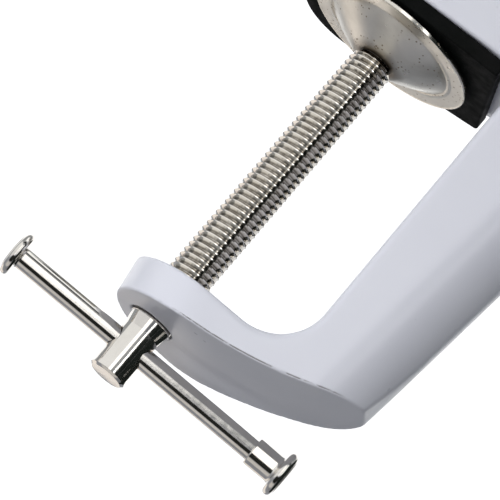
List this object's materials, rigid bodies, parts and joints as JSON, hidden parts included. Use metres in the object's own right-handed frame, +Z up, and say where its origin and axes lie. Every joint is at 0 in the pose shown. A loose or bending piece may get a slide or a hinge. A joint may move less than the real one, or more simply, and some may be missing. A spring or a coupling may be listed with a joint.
{
  "type": "table-edge screw clamp",
  "caption": "C-frame screw clamp with a rubber-faced jaw, a swivel pressure pad on a tommy-bar screw and a socket for a 12 mm post",
  "frame": {"origin": "centre of the rubber jaw face on the screw axis", "axes": "+Z up along the screw, +X from the screw to the spine, Y across the jaw"},
  "size_m": [0.1019, 0.0442, 0.1235],
  "materials": {
    "painted_casting": "glossy pale grey paint over a casting",
    "black_rubber": "matte black rubber",
    "nickel_steel": "bright nickel plate",
    "plated_sheet": "satin plate on stamped steel",
    "black_nylon": "black moulded nylon",
    "brass_tip": "turned brass"
  },
  "bodies": {
    "frame": {"frame_casting": "painted_casting", "jaw_pad": "black_rubber", "socket_bush": "black_nylon"},
    "carrier": {"pad_washer": "plated_sheet"},
    "screw": {"screw_spindle": "nickel_steel"},
    "swivel": {"pressure_pad": "plated_sheet"},
    "bar": {"tommy_bar": "nickel_steel", "bar_end_cap": "nickel_steel"},
    "lock_carrier": {"lock_pad": "brass_tip"},
    "lock": {"lock_screw": "nickel_steel"}
  },
  "joints": [
    {"name": "screw_travel", "type": "slide", "parent": "frame", "child": "carrier", "axis": [0, 0, 1], "range_m": [-0.066, 0]},
    {"name": "screw_turn", "type": "hinge", "parent": "carrier", "child": "screw", "pos_m": [0, 0, -0.05], "axis": [0, 0, 1], "range_deg": [-15840, 0]},
    {"name": "pad_tilt", "type": "hinge", "parent": "carrier", "child": "swivel", "pos_m": [0, 0, -0.00665], "axis": [0, 1, 0], "range_deg": [-2.5, 2.5]},
    {"name": "bar_slide", "type": "slide", "parent": "screw", "child": "bar", "axis": [0.9763, 0.2164, 0], "range_m": [-0.0284, 0.0244]},
    {"name": "lock_travel", "type": "slide", "parent": "frame", "child": "lock_carrier", "axis": [-1, 0, 0], "range_m": [-0.002, 0.0005]},
    {"name": "lock_turn", "type": "hinge", "parent": "lock_carrier", "child": "lock", "pos_m": [0.06, 0, 0.013], "axis": [-1, 0, 0], "range_deg": [-720, 180]}
  ],
  "couplings": [
    {"joint": "screw_travel", "follows": "screw_turn", "m_per_rad": 0.00023873},
    {"joint": "lock_travel", "follows": "lock_turn", "m_per_rad": 0.00015915}
  ]
}
